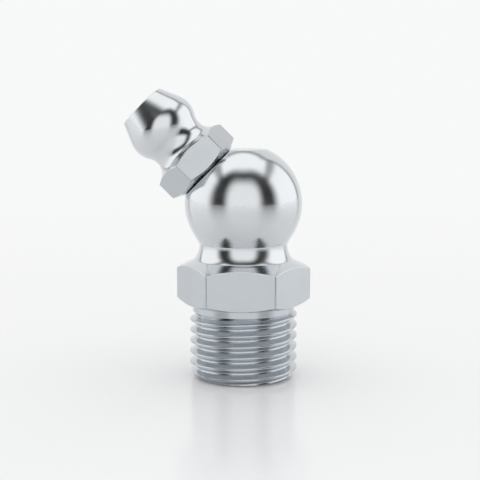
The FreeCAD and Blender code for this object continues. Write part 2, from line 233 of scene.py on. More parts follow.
class HeadSizes(PropertyGroup):
    """Sizes of the leaning nipple, along its own axis from its seat on the ball"""

    lean: angle("Lean", 45.0, "Angle between the head's axis and the shank's")
    axis_drop: length("Axis Drop", 0.47, "How far under the ball's centre the two axes cross")
    seat_distance: length("Seat Distance", 4.58, "Distance of the seat from the crossing of the axes")
    socket_clearance: length("Socket Clearance", 0.05, "Space round the spigot")
    socket_extra: length("Socket Extra Depth", 0.45, "Depth of the socket under the spigot's end")
    spigot_diameter: length("Spigot Diameter", 5.50, "Diameter of the spigot in the ball")
    spigot_length: length("Spigot Length", 4.80, "Length of the spigot")
    spigot_chamfer: length("Spigot Chamfer", 0.40, "Chamfer at the spigot's end")
    across_flats: length("Across Flats", 6.87, "Distance between two flats of the small hexagon")
    chamfer_width: length("Chamfer Width", 0.99, "How far the lower cone reaches in from the corners")
    corner_length: length("Corner Length", 1.74, "Length of the small hexagon's corner edges")
    cone: angle("Cone", 32.0, "Slope of the cones over and under the small hexagon")
    hexagon_turn: angle("Hexagon Turn", 12.0, "Turn of the small hexagon about the head's axis")
    edge_rounding: length("Edge Rounding", 0.05, "Width broken off the milled edges")
    undercut_depth: length("Undercut Depth", 0.20, "Depth of the groove over the seat")
    undercut_height: length("Undercut Height", 0.07, "Height of the groove over the seat")
    neck_diameter: length("Neck Diameter", 5.36, "Diameter behind the head")
    neck_height: length("Neck Height", 3.84, "Height of the narrowest place")
    head_diameter: length("Head Diameter", 6.56, "Largest diameter of the head")
    widest_height: length("Widest Height", 5.90, "Height of the head's widest place")
    head_radius: length("Head Radius", 2.25, "Radius of the head's rounded side")
    front_angle: angle("Front Angle", 23.5, "Slope of the head's front cone")
    head_height: length("Head Height", 8.59, "Height of the tip")
    tip_rounding: length("Tip Rounding", 0.12, "Rounding round the tip")
    mouth_diameter: length("Mouth Diameter", 1.70, "Diameter of the grease mouth")
    mouth_lip: length("Mouth Lip", 0.28, "Length of the mouth's straight wall")
    mouth_chamfer: length("Mouth Chamfer", 0.10, "Chamfer at the mouth")
    valve_seat: angle("Valve Seat", 45.0, "Half angle of the conical seat")
    ball_diameter: length("Check Ball Diameter", 2.50, "Diameter of the check ball")
    ball_clearance: length("Check Ball Clearance", 0.10, "Space round the check ball")
    passage_diameter: length("Passage Diameter", 1.60, "Diameter of the passage in the spigot")
    step_height: length("Spring Step", 2.593, "Height of the step that carries the spring")
    wire_diameter: length("Wire Diameter", 0.30, "Diameter of the spring's wire")
    coil_clearance: length("Coil Clearance", 0.15, "Space between the spring and its bore")
    turn_gap: length("Turn Gap", 0.03, "Space between the turns of the compressed spring")
    active_turns: IntProperty(name="Active Turns", description="Open turns of the spring", default=3, min=1)
    ball_travel: length("Ball Travel", 2.0, "How far the grease pushes the check ball in")


class Finishes(PropertyGroup):
    """Colours and roughness of the plated steel, with the painted shade in the nipple's undercut and the
    painted dark reflection lines beside the corners
    """

    turned_colour: colour("Turned Colour", (0.635, 0.66, 0.68), "Colour of the bright turned steel")
    turned_roughness: share("Turned Roughness", 0.15, "Roughness of the turned steel")
    milled_colour: colour("Milled Colour", (0.555, 0.585, 0.61), "Colour of the satin milled flats")
    milled_roughness: share("Milled Roughness", 0.32, "Roughness of the milled flats")
    thread_colour: colour("Thread Colour", (0.54, 0.57, 0.60), "Colour of the threaded shank")
    thread_roughness: share("Thread Roughness", 0.16, "Roughness of the threaded shank")
    # A painted reflection: the dark line that the broken corners show is painted on the strips beside the
    # flats
    painted_dark_line_colour: colour("Painted Dark Line Colour", (0.17, 0.18, 0.19), "Colour of the painted dark reflection lines beside corners")
    # Painted shade: the undercut over the seat is painted near black for the shade in that gap
    undercut_painted_shade_colour: colour("Crevice Colour", (0.05, 0.055, 0.06), "Colour of the shade painted in the undercut")
    ball_colour: colour("Ball Colour", (0.62, 0.63, 0.64), "Colour of the hardened check ball")
    crevice_roughness: share("Crevice Roughness", 0.6, "Roughness of the steel in the undercut")
    spring_colour: colour("Spring Colour", (0.42, 0.42, 0.43), "Colour of the drawn spring wire")
    spring_roughness: share("Spring Roughness", 0.35, "Roughness of the spring wire")
    lathe_feed: length("Lathe Feed", 0.14, "Spacing of the turning lines")
    turned_relief: length("Turned Relief", 0.0004, "Depth of the turning lines on the body")
    thread_relief: length("Thread Relief", 0.0003, "Depth of the turning lines on the thread")
    nipple_relief: length("Nipple Relief", 0.0016, "Depth of the turning lines on the nipple")


class StageSettings(PropertyGroup):
    """Camera, floor and light tent"""

    camera_azimuth: angle("Camera Azimuth", 2.75, "Turn of the camera round the object")
    camera_distance: length("Camera Distance", 101.0, "Level distance from the shank's axis")
    camera_height: length("Camera Height", 25.7, "Height of the camera over the floor")
    camera_offset: length("Camera Offset", 0.315, "How far the camera stands to the left of the axis")
    camera_pitch: angle("Camera Pitch", 7.3, "How far the camera looks down")
    lens: FloatProperty(name="Lens", description="Focal length in millimetres", default=82.5, min=1.0)
    backdrop: colour("Backdrop", (0.935, 0.94, 0.945), "Colour of the backdrop")
    floor: colour("Floor", (0.90, 0.905, 0.91), "Colour of the floor")
    floor_roughness: share("Floor Roughness", 0.16, "Roughness of the floor")
    floor_size: length("Floor Size", 6000.0, "Length of the floor's sides")
    floor_drop: length("Floor Drop", 0.02, "Space between the object's foot and the floor")
    fade_start: length("Fade Start", 60.0, "Distance where the floor starts to run into the backdrop")
    fade_end: length("Fade End", 240.0, "Distance where the floor has the backdrop's colour")
    window_light: level("Window Light", 1.15, "Light of the window in front")
    frame_light: level("Frame Light", 0.04, "Light of the dark frame round the window")
    left_light: level("Left Light", 1.3, "Light of the panel on the left")
    right_light: level("Right Light", 1.35, "Light of the panel on the right")
    top_light: level("Top Light", 1.32, "Light of the softbox overhead")
    back_light: level("Back Light", 0.94, "Light of the backdrop in reflections")
    seam_light: level("Seam Light", 0.25, "Light between the softbox and the side panels")
    seam_strength: share("Seam Strength", 0.8, "How clearly the softbox's seam shows")
    gap_light: level("Gap Light", 0.12, "Light in the gap round the backdrop")
    gap_strength: share("Gap Strength", 0.7, "How clearly the backdrop's gap shows")
    window_half_width: angle("Window Half Width", 34.0, "Half the window's width as the object sees it")
    window_height: angle("Window Height", 47.0, "Top of the window over the horizon")
    board_half_width: angle("Board Half Width", 67.0, "Half the dark board's width")
    board_height: angle("Board Height", 69.0, "Top of the dark board over the horizon")
    backdrop_half_width: angle("Backdrop Half Width", 42.0, "Half the backdrop's width")
    backdrop_height: angle("Backdrop Height", 51.0, "Top of the backdrop over the horizon")


class Outline:
    """A half section in the XZ plane, drawn point by point with the extrude and spin tools."""

    def __init__(self, name, radius, height):
        bpy.ops.object.select_all(action="DESELECT")
        bpy.ops.mesh.primitive_plane_add(size=MM, location=(0, 0, 0))
        self.piece = bpy.context.object
        self.piece.name = self.piece.data.name = name
        bpy.ops.object.mode_set(mode="EDIT")
        bpy.ops.mesh.select_mode(type="VERT")
        bpy.ops.mesh.merge(type="CENTER")
        bpy.ops.transform.translate(value=(radius, 0, height))
        self.end = Vector((radius, height))

    def line(self, radius, height):
        """Draw a straight line to a point."""
        target = Vector((radius, height))
        step = target - self.end
        bpy.ops.mesh.extrude_vertices_move(TRANSFORM_OT_translate={"value": (step.x, 0, step.y)})
        self.end = target

    def arc(self, centre, target, steps=ARC_STEPS):
        """Draw the shorter arc round a centre to a point."""
        start, end = self.end - centre, Vector(target) - centre
        turn = math.atan2(start.x * end.y - start.y * end.x, start.dot(end))
        bpy.ops.mesh.spin(steps=steps, angle=turn, center=(centre[0], 0, centre[1]), axis=(0, 1, 0))
        self.end = Vector(target)

    def corner(self, corner, after, rounding, steps=ROUNDING_STEPS):
        """Draw a line towards a corner and round it off on the way to the point after it."""
        corner = Vector(corner)
        back, on = (self.end - corner).normalized(), (Vector(after) - corner).normalized()
        half = back.angle(on) / 2
        reach = rounding / math.tan(half)
        centre = corner + (back + on).normalized() * (rounding / math.sin(half))
        self.line(*(corner + back * reach))
        self.arc(centre, corner + on * reach, steps)

    def spin(self, steps=TURN_STEPS):
        """Spin the outline once about Z into a closed skin and return its object, still in edit mode."""
        bpy.ops.mesh.select_all(action="SELECT")
        bpy.ops.mesh.spin(steps=steps, angle=math.tau, center=(0, 0, 0), axis=(0, 0, 1))
        weld()
        return self.piece


def weld():
    """Merge what coincides and turn every face outwards, in edit mode."""
    bpy.ops.mesh.select_all(action="SELECT")
    bpy.ops.mesh.remove_doubles(threshold=WELD)
    bpy.ops.mesh.normals_make_consistent(inside=False)


def select_faces(piece, wanted):
    """Select the faces that pass a test, in edit mode."""
    bpy.ops.mesh.select_mode(type="FACE")
    bpy.ops.mesh.select_all(action="DESELECT")
    mesh = bmesh.from_edit_mesh(piece.data)
    for face in mesh.faces:
        if wanted(face):
            face.select_set(True)
    bmesh.update_edit_mesh(piece.data)


def select_edges(piece, wanted):
    """Select the edges that pass a test, in edit mode."""
    bpy.ops.mesh.select_mode(type="EDGE")
    bpy.ops.mesh.select_all(action="DESELECT")
    mesh = bmesh.from_edit_mesh(piece.data)
    for edge in mesh.edges:
        if wanted(edge):
            edge.select_set(True)
    bmesh.update_edit_mesh(piece.data)


def radius_of(point):
    return math.hypot(point.x, point.y)


def corner_radius_of(across_flats):
    return across_flats / 2 / math.cos(SIXTH_TURN / 2)


def flat_normals():
    turns = [SIXTH_TURN * (flat + 0.5) for flat in range(6)]
    return [Vector((math.cos(turn), math.sin(turn), 0)) for turn in turns]


def mill_hexagon(piece, across_flats, low, high, inner_radius, rounding):
    """Cut six flats square to the outside of a turned piece and break their edges, in edit mode."""
    def outside(face):
        centre = face.calc_center_median()
        return low < centre.z < high and radius_of(centre) > inner_radius

    for normal in flat_normals():
        select_faces(piece, outside)
        bpy.ops.mesh.bisect(
            plane_co=normal * across_flats / 2, plane_no=normal, use_fill=True, clear_outer=True,
            threshold=WELD)

    # merge the slivers that the cuts leave, so that the edges break evenly
    bpy.ops.mesh.select_all(action="SELECT")
    bpy.ops.mesh.remove_doubles(threshold=SLIVER)

    def corner_edge(edge):
        return len(edge.link_faces) == 2 and all(
            is_flat_of_hexagon(face, across_flats) for face in edge.link_faces)

    def rim_edge(edge):
        return is_ridge(edge, MILLED_EDGE_ANGLE) and all(
            low - WELD < v.co.z < high and radius_of(v.co) > inner_radius for v in edge.verts)

    for wanted, offset in ((corner_edge, rounding), (rim_edge, rounding / 2)):
        select_edges(piece, wanted)
        bpy.ops.mesh.bevel(
            offset=offset, segments=ROUNDING_STEPS, affect="EDGES", clamp_overlap=False)
    select_faces(piece, lambda face: is_flat_of_hexagon(face, across_flats))
    bpy.ops.mesh.region_to_loop()
    bpy.ops.mesh.mark_sharp()


def is_ridge(edge, least_angle):
    return len(edge.link_faces) == 2 and edge.calc_face_angle() > least_angle


def is_flat_of_hexagon(face, across_flats):
    centre = face.calc_center_median()
    return any(
        face.normal.dot(normal) > FLAT_ALIGNMENT and abs(centre.dot(normal) - across_flats / 2) < SLIVER
        for normal in flat_normals())


def beside_flat_of_hexagon(face, across_flats):
    """True on the strips of the broken upright corners that touch the flats, which get a painted dark
    reflection line.
    """
    turn = math.atan2(face.normal.y, face.normal.x) % SIXTH_TURN
    nearest, farthest = PAINTED_DARK_LINE_TURNS
    return (abs(face.normal.z) < UPRIGHT
            and radius_of(face.calc_center_median()) > CORNER_REACH * across_flats
            and nearest < min(turn, SIXTH_TURN - turn) < farthest)


def wear(piece, materials):
    """Give a piece its materials, the first one all over."""
    for material in materials:
        piece.data.materials.append(material)


def paint(piece, slot, wanted):
    """Assign a material slot to the faces that pass a test, in edit mode."""
    select_faces(piece, wanted)
    piece.active_material_index = slot
    bpy.ops.object.material_slot_assign()


def pick(piece):
    """Make a piece the only selected and active object."""
    bpy.ops.object.select_all(action="DESELECT")
    piece.select_set(True)
    bpy.context.view_layer.objects.active = piece


def finish_shading(piece):
    bpy.ops.object.mode_set(mode="OBJECT")
    pick(piece)
    bpy.ops.object.shade_smooth_by_angle(angle=SMOOTH_ANGLE)


def cut_away(piece, tool):
    """Take a tool's shape out of a piece with an applied Boolean modifier, and remove the tool."""
    pick(piece)
    cut = piece.modifiers.new("Drill", "BOOLEAN")
    cut.operation = "DIFFERENCE"
    cut.solver = "EXACT"
    cut.object = tool
    bpy.ops.object.modifier_apply(modifier=cut.name)
    bpy.data.objects.remove(tool)


def head_frame(head, ball):
    """The seat's middle on the ball and the direction of the head's axis."""
    along = Vector((-math.sin(head.lean), 0, math.cos(head.lean)))
    crossing = Vector((0, 0, ball.centre_height - head.axis_drop))
    return crossing + along * head.seat_distance, along


def lean_over(piece, head, ball):
    """Move a piece made along +Z from the origin onto the leaning head axis."""
    seat, _ = head_frame(head, ball)
    pick(piece)
    piece.rotation_euler = (0, -head.lean, 0)
    piece.location = seat
    bpy.ops.object.transform_apply(location=True, rotation=True, scale=False)


def neck_outline(hexagon, ball):
    """Points and centres of the neck's curves, from the hexagon's cone up to the ball."""
    ball_radius = ball.diameter / 2
    neck_radius = ball_radius - ball.neck_depth
    centre = Vector((0, ball.centre_height))
    flank_top = centre + ball_radius * Vector((math.cos(ball.flank), -math.sin(ball.flank)))
    meeting = flank_top.y - (flank_top.x - neck_radius) / math.tan(ball.flank)
    narrow = meeting - ball.upper_radius * math.tan(ball.flank / 2)
    upper_centre = Vector((neck_radius + ball.upper_radius, narrow))
    upper_end = upper_centre + ball.upper_radius * Vector((-math.cos(ball.flank), math.sin(ball.flank)))

    corner_radius = corner_radius_of(hexagon.across_flats)
    high_corner = (hexagon.seat_height + hexagon.chamfer_width * math.tan(hexagon.lower_cone)
                   + hexagon.corner_length)
    slope = math.tan(hexagon.upper_cone)
    foot = Vector((neck_radius + ball.foot_step, 0))
    foot.y = high_corner + (corner_radius - foot.x) * slope
    lower_radius = (ball.foot_step**2 + (narrow - foot.y) ** 2) / (2 * ball.foot_step)
    lower_centre = Vector((neck_radius + lower_radius, narrow))

    # the fillet's centre lies a fillet above the cone and a fillet inside the lower arc
    fillet = ball.foot_fillet
    up = Vector((math.sin(hexagon.upper_cone), math.cos(hexagon.upper_cone)))
    along = Vector((-up.y, up.x))
    base = foot + up * fillet - lower_centre
    inner = lower_radius - fillet
    reach = -base.dot(along) + math.sqrt(base.dot(along) ** 2 - base.length_squared + inner**2)
    fillet_centre = lower_centre + base + along * reach
    return {
        "narrow": Vector((neck_radius, narrow)), "flank_top": flank_top, "upper_centre": upper_centre,
        "upper_end": upper_end, "lower_centre": lower_centre, "fillet_centre": fillet_centre,
        "fillet_start": fillet_centre - up * fillet,
        "fillet_end": lower_centre + (fillet_centre - lower_centre) * (lower_radius / inner),
        "corner_radius": corner_radius, "high_corner": high_corner, "slope": slope,
    }


def turned_body(shank, hexagon, ball, head):
    """The round bar, neck and ball with the grease bore, in edit mode."""
    neck = neck_outline(hexagon, ball)
    bore_radius = shank.bore_diameter / 2
    bore_end = ball.centre_height - head.axis_drop - shank.bore_overrun
    seat_radius = neck["corner_radius"] - hexagon.chamfer_width
    over = 2 * hexagon.edge_rounding
    bar_radius = neck["corner_radius"] + over
    low = hexagon.seat_height + (bar_radius - seat_radius) * math.tan(hexagon.lower_cone)
    ball_radius = ball.diameter / 2
    rounding_radius = ball_radius - ball.top_rounding
    rise = ball.top_flat - ball.top_rounding
    reach = math.sqrt(rounding_radius**2 - rise**2)
    ball_centre = Vector((0, ball.centre_height))
    rim_centre = ball_centre + Vector((reach, rise))

    outline = Outline("fitting_body", 0, bore_end + bore_radius / math.tan(shank.drill_point / 2))
    outline.line(bore_radius, bore_end)
    outline.line(bore_radius, hexagon.seat_height)
    outline.line(seat_radius, hexagon.seat_height)
    outline.line(bar_radius, low)
    outline.line(bar_radius, neck["high_corner"] - over * neck["slope"])
    outline.line(*neck["fillet_start"])
    outline.arc(neck["fillet_centre"], neck["fillet_end"], ROUNDING_STEPS)
    outline.arc(neck["lower_centre"], neck["narrow"])
    outline.arc(neck["upper_centre"], neck["upper_end"], ROUNDING_STEPS)
    outline.line(*neck["flank_top"])
    outline.arc(ball_centre, ball_centre + (rim_centre - ball_centre) * (ball_radius / rounding_radius),
                4 * ARC_STEPS)
    outline.arc(rim_centre, rim_centre + Vector((0, ball.top_rounding)), ROUNDING_STEPS)
    outline.line(0, ball.centre_height + ball.top_flat)
    return outline.spin()


def mill_body(body, hexagon, ball):
    """Mill the wrench hexagon from the round bar."""
    narrow = neck_outline(hexagon, ball)["narrow"]
    bpy.ops.object.mode_set(mode="EDIT")
    mill_hexagon(body, hexagon.across_flats, hexagon.seat_height, narrow.y - ball.upper_radius,
                 narrow.x + ball.foot_step, hexagon.edge_rounding)


def spot_face(body, ball, head):
    """Cut the ball's seat for the nipple, starting in edit mode."""
    seat, along = head_frame(head, ball)
    lowest = ball.centre_height - ball.diameter / 4
    select_faces(body, lambda face: face.calc_center_median().z > lowest)
    bpy.ops.mesh.bisect(plane_co=seat, plane_no=along, use_fill=True, clear_outer=True, threshold=WELD)
    bpy.ops.object.mode_set(mode="OBJECT")


def break_rim(body, ball, head):
    """Break the rim of the ball's seat, in edit mode."""
    seat, along = head_frame(head, ball)
    socket_edge = head.spigot_diameter / 2 + head.socket_clearance + RIM_MARGIN

    def rim(edge):
        reaches = [v.co - seat for v in edge.verts]
        return is_ridge(edge, SEAT_RIM_ANGLE) and all(
            abs(reach.dot(along)) < WELD and reach.length > socket_edge for reach in reaches)

    select_edges(body, rim)
    bpy.ops.mesh.bevel(offset=ball.face_rounding, segments=2, affect="EDGES", clamp_overlap=False)


def drill_socket(body, shank, ball, head):
    """Drill the angled hole for the nipple's spigot into the grease bore."""
    radius = head.spigot_diameter / 2 + head.socket_clearance
    depth = head.spigot_length + head.socket_extra
    drill = Outline("drill", 0, -depth - radius / math.tan(shank.drill_point / 2))
    drill.line(radius, -depth)
    drill.line(radius, DRILL_OVERSHOOT)
    drill.line(0, DRILL_OVERSHOOT)
    tool = drill.spin(DRILL_STEPS)
    bpy.ops.object.mode_set(mode="OBJECT")
    lean_over(tool, head, ball)
    cut_away(body, tool)


def thread_turn(shank, crest_height):
    """The outline of one turn of the thread, from the middle of a crest to the next, in edit mode."""
    crest, root = shank.crest_diameter / 2, shank.crest_diameter / 2 - shank.depth
    half_crest = shank.crest_width / 2
    run = shank.depth * math.tan(shank.flank_angle)
    heights = [half_crest, half_crest + run, shank.pitch - half_crest - run, shank.pitch - half_crest]
    lower_crest, lower_root, upper_root, upper_crest = (
        Vector((radius, crest_height + height))
        for radius, height in zip((crest, root, root, crest), heights))
    def flank(start, end):
        """Draw a flank in short steps, so that the cones can cut it cleanly."""
        for step in range(1, FLANK_STEPS):
            outline.line(*start.lerp(end, step / FLANK_STEPS))

    outline = Outline("shank", crest, crest_height)
    outline.corner(lower_crest, lower_root, shank.crest_rounding)
    flank(lower_crest, lower_root)
    outline.corner(lower_root, upper_root, shank.root_rounding)
    outline.corner(upper_root, upper_crest, shank.root_rounding)
    flank(upper_root, upper_crest)
    end = Vector((crest, crest_height + shank.pitch))
    outline.corner(upper_crest, end, shank.crest_rounding)
    outline.line(*end)
    return outline.piece


def wind_thread(piece, shank, turns):
    """Screw the outline of one turn up the shank."""
    bpy.ops.object.mode_set(mode="OBJECT")
    winding = piece.modifiers.new("Thread", "SCREW")
    winding.axis = "Z"
    winding.angle = math.tau
    winding.screw_offset = shank.pitch
    winding.iterations = turns
    winding.steps = winding.render_steps = THREAD_STEPS
    bpy.ops.object.modifier_apply(modifier=winding.name)
    bpy.ops.object.mode_set(mode="EDIT")
    weld()


def turn_down(piece, shank):
    """Turn the thread down to its lead-in cone, its run-out cone and the plain collar."""
    foot, crest, collar = shank.foot_diameter / 2, shank.crest_diameter / 2, shank.collar_diameter / 2
    root = crest - shank.depth
    mesh = bmesh.from_edit_mesh(piece.data)
    for vertex in mesh.verts:
        height = vertex.co.z
        radius = radius_of(vertex.co)
        most = min(foot + height, crest, max(crest - (height - shank.thread_length), collar))
        least = min(root + max(height - shank.thread_length, 0), collar)
        turned = max(min(radius, most), min(least, most))
        vertex.co.x *= turned / radius
        vertex.co.y *= turned / radius
    bmesh.update_edit_mesh(piece.data)

    # split the faces that lie half on the groove and half on a cone
    bpy.ops.mesh.select_all(action="SELECT")
    bpy.ops.mesh.vert_connect_nonplanar(angle_limit=NONPLANAR_ANGLE)
    bpy.ops.mesh.dissolve_degenerate(threshold=SLIVER / 2)


def threaded_shank(shank, hexagon):
    """The threaded shank with its foot face and bore, its upper end inside the hexagon."""
    spare_turns = 3
    turns = math.ceil(hexagon.seat_height / shank.pitch) + spare_turns
    piece = thread_turn(shank, -(1 + shank.start_angle / math.tau) * shank.pitch)
    wind_thread(piece, shank, turns)
    turn_down(piece, shank)

    top = hexagon.seat_height + SHANK_OVERLAP
    bpy.ops.mesh.select_all(action="SELECT")
    bpy.ops.mesh.bisect(plane_co=(0, 0, top), plane_no=(0, 0, 1), clear_outer=True, threshold=WELD)
    bpy.ops.mesh.select_all(action="SELECT")
    bpy.ops.mesh.bisect(plane_co=(0, 0, 0), plane_no=(0, 0, -1), clear_outer=True, threshold=WELD)

    # the foot face, the bore's chamfer and the bore are drawn in from the foot's rim
    foot, bore = shank.foot_diameter / 2, shank.bore_diameter / 2
    select_edges(piece, lambda e: e.is_boundary and all(abs(v.co.z) < WELD for v in e.verts))
    rings = [(bore + shank.bore_chamfer, 0), (bore, shank.bore_chamfer), (bore, hexagon.seat_height)]
    radius, height = foot, 0
    for next_radius, next_height in rings:
        bpy.ops.mesh.extrude_edges_move(
            TRANSFORM_OT_translate={"value": (0, 0, next_height - height)})
        scale = next_radius / radius
        bpy.ops.transform.resize(value=(scale, scale, 1), center_override=(0, 0, next_height))
        radius, height = next_radius, next_height
    select_edges(piece, lambda e: e.is_boundary)
    bpy.ops.mesh.bridge_edge_loops()
    weld()
    return piece


def join(piece, other):
    """Join another object into a piece."""
    bpy.ops.object.mode_set(mode="OBJECT")
    pick(piece)
    other.select_set(True)
    bpy.ops.object.join()


def turned_nipple(head):
    """The nipple with its valve bore along +Z, its seat at the origin, in edit mode."""
    slope = math.tan(head.cone)
    corner_radius = corner_radius_of(head.across_flats)
    over = 2 * head.edge_rounding
    bar_radius = corner_radius + over
    seat_radius = corner_radius - head.chamfer_width
    low = (bar_radius - seat_radius) * slope
    cone_apex = head.chamfer_width * slope + head.corner_length + corner_radius * slope

    # the lower neck arc touches the hexagon's cone, the upper one touches the head's arc
    neck_radius = head.neck_diameter / 2
    narrow = Vector((neck_radius, head.neck_height))
    lower_radius = (narrow.y + slope * neck_radius - cone_apex) / (math.sqrt(1 + slope**2) - slope)
    lower_centre = narrow + Vector((lower_radius, 0))
    lower_start = lower_centre - lower_radius * Vector((math.sin(head.cone), math.cos(head.cone)))
    head_centre = Vector((head.head_diameter / 2 - head.head_radius, head.widest_height))
    gap, rise = neck_radius - head_centre.x, head_centre.y - narrow.y
    upper_radius = (gap**2 + rise**2 - head.head_radius**2) / (2 * (head.head_radius - gap))
    upper_centre = narrow + Vector((upper_radius, 0))
    join_point = head_centre + (upper_centre - head_centre).normalized() * head.head_radius
    slant = Vector((math.cos(head.front_angle), math.sin(head.front_angle)))
    front = head_centre + head.head_radius * slant
    tip_radius = front.x - (head.head_height - front.y) * math.tan(head.front_angle)

    # the valve bore, from the mouth down to the passage
    mouth, passage = head.mouth_diameter / 2, head.passage_diameter / 2
    bore = head.ball_diameter / 2 + head.ball_clearance
    seat_top = head.head_height - head.mouth_lip
    seat_foot = seat_top - (bore - mouth) / math.tan(head.valve_seat)
    spigot = head.spigot_diameter / 2

    outline = Outline("nipple_head", passage, -head.spigot_length)
    outline.line(spigot - head.spigot_chamfer, -head.spigot_length)
    outline.line(spigot, head.spigot_chamfer - head.spigot_length)
    outline.line(spigot, 0)
    outline.line(seat_radius - head.undercut_depth, 0)
    outline.line(seat_radius - head.undercut_depth, head.undercut_height)
    outline.line(seat_radius, head.undercut_height)
    outline.line(bar_radius, low)
    outline.line(bar_radius, cone_apex - bar_radius * slope)
    outline.line(*lower_start)
    outline.arc(lower_centre, narrow)
    outline.arc(upper_centre, join_point)
    outline.arc(head_centre, front, 2 * ARC_STEPS)
    flare = mouth + head.mouth_chamfer
    tip = (tip_radius, head.head_height)
    outline.corner(tip, (flare, head.head_height), head.tip_rounding)
    outline.line(flare, head.head_height)
    outline.line(mouth, head.head_height - head.mouth_chamfer)
    outline.line(mouth, seat_top)
    outline.line(bore, seat_foot)
    outline.line(bore, head.step_height)
    outline.line(passage, head.step_height)
    outline.line(passage, -head.spigot_length)
    nipple = outline.spin()
    mill_hexagon(nipple, head.across_flats, head.undercut_height, narrow.y,
                 seat_radius - head.undercut_depth / 2, head.edge_rounding)
    return nipple


def wound_spring(head):
    """The check spring along +Z with a closed turn at each end, drawn on in steps from a disc of wire."""
    wire = head.wire_diameter / 2
    coil = head.ball_diameter / 2 + head.ball_clearance - head.coil_clearance - wire
    closed = head.wire_diameter + head.turn_gap
    open_pitch = closed + head.ball_travel / head.active_turns
    bpy.ops.object.select_all(action="DESELECT")
    bpy.ops.mesh.primitive_circle_add(
        vertices=WIRE_SIDES, radius=wire, fill_type="NGON", location=(coil, 0, head.step_height + wire),
        rotation=(math.pi / 2, 0, 0))
    spring = bpy.context.object
    spring.name = spring.data.name = "closing_spring"
    bpy.ops.object.transform_apply(location=True, rotation=True, scale=False)
    bpy.ops.object.mode_set(mode="EDIT")
    bpy.ops.mesh.select_mode(type="FACE")
    bpy.ops.mesh.select_all(action="SELECT")
    for pitch in [closed] + [open_pitch] * head.active_turns + [closed]:
        for _ in range(COIL_STEPS):
            bpy.ops.mesh.extrude_region_move(
                TRANSFORM_OT_translate={"value": (0, 0, pitch / COIL_STEPS)})
            bpy.ops.transform.rotate(
                value=-math.tau / COIL_STEPS, orient_axis="Z", center_override=(0, 0, 0))
    weld()
    bpy.ops.object.mode_set(mode="OBJECT")
    return spring


class Nodes:
    """Adds nodes to a tree and links or sets their inputs."""

    def __init__(self, tree):
        self.tree = tree
        tree.nodes.clear()

    def add(self, kind, inputs=None, **settings):
        """Add a node, with values or links for its inputs by name or number."""
        node = self.tree.nodes.new(kind)
        for name, value in settings.items():
            setattr(node, name, value)
        for name, value in (inputs or {}).items():
            if isinstance(value, bpy.types.NodeSocket):
                self.tree.links.new(value, node.inputs[name])
            else:
                node.inputs[name].default_value = value
        return node

    def math(self, operation, *values):
        return self.add("ShaderNodeMath", dict(enumerate(values)), operation=operation).outputs[0]

    def ramp(self, value, low, high, start=0.0, end=1.0):
        """A value that goes smoothly from start to end between low and high."""
        inputs = {"Value": value, "From Min": low, "From Max": high, "To Min": start, "To Max": end}
        node = self.add("ShaderNodeMapRange", inputs, interpolation_type="SMOOTHSTEP")
        return node.outputs["Result"]

    def fade(self, value, edge):
        """A value that goes smoothly from one to zero over an edge."""
        return self.ramp(value, *edge, 1.0, 0.0)

    def noise(self, vector, scale, detail, **settings):
        inputs = {"Vector": vector, "Scale": scale, "Detail": detail}
        return self.add("ShaderNodeTexNoise", inputs, **settings).outputs["Fac"]

    def blend(self, factor, first, second):
        """A number between two others."""
        inputs = {"Factor": factor, "A": first, "B": second}
        return self.add("ShaderNodeMix", inputs, data_type="FLOAT").outputs["Result"]

    def mix_colour(self, factor, first, second):
        """A colour between two others."""
        node = self.add("ShaderNodeMix", data_type="RGBA")
        for index, value in ((0, factor), (6, first), (7, second)):
            if isinstance(value, bpy.types.NodeSocket):
                self.tree.links.new(value, node.inputs[index])
            else:
                node.inputs[index].default_value = value
        return node.outputs[2]

    def metal(self, tone, roughness, bump):
        """End a material's tree in a metal shader."""
        shader = self.add("ShaderNodeBsdfPrincipled", {
            "Base Color": tone, "Metallic": 1.0, "Roughness": roughness, "Normal": bump.outputs[0]})
        self.add("ShaderNodeOutputMaterial", {"Surface": shader.outputs[0]})


def rgba(value, brightness=1.0):
    return (*(brightness * part for part in value), 1.0)


def lathe_coordinates(nodes, turn=0.0, centre=(0.0, 0.0, 0.0)):
    """Radius from the turning axis and height along it, on coordinates turned to that axis."""
    place = nodes.add("ShaderNodeTexCoord").outputs["Object"]
    placed = nodes.add("ShaderNodeVectorMath", {0: place, 1: centre}, operation="SUBTRACT").outputs[0]
    turned = nodes.add("ShaderNodeVectorRotate", {"Vector": placed, "Angle": turn},
                       rotation_type="Y_AXIS").outputs[0]
    parts = nodes.add("ShaderNodeSeparateXYZ", {0: turned})
    square = nodes.math("ADD", nodes.math("MULTIPLY", parts.outputs[0], parts.outputs[0]),
                        nodes.math("MULTIPLY", parts.outputs[1], parts.outputs[1]))
    return nodes.math("SQRT", square), parts.outputs[2], turned


def steel(name, base, roughness, feed, depth, turn=0.0, centre=(0.0, 0.0, 0.0)):
    """Plated steel with turning lines round its axis, faint smudges and an uneven polish."""
    material = bpy.data.materials.new(name)
    material.use_nodes = True
    nodes = Nodes(material.node_tree)
    radius, height, turned = lathe_coordinates(nodes, turn, centre)
    along = nodes.math("ADD", height, radius)
    wave = nodes.math("SINE", nodes.math("MULTIPLY", along, math.tau / feed))
    rings = nodes.add("ShaderNodeCombineXYZ", {0: radius, 1: height}).outputs[0]
    uneven = nodes.noise(rings, UNEVEN_LINES / feed, detail=3.0, noise_dimensions="2D")
    smudge = nodes.noise(turned, SMUDGE_SCALE, detail=4.0)
    relief = nodes.math("ADD", nodes.math("MULTIPLY", wave, WAVE_SHARE), uneven)
    bump = nodes.add("ShaderNodeBump", {"Height": relief, "Strength": 1.0, "Distance": depth})
    tone = nodes.mix_colour(nodes.ramp(smudge, *SMUDGE_TONE), rgba(base), rgba(base, SMUDGED))
    polish = nodes.math("ADD", roughness, nodes.ramp(smudge, *SMUDGE_POLISH))
    nodes.metal(tone, polish, bump)
    return material


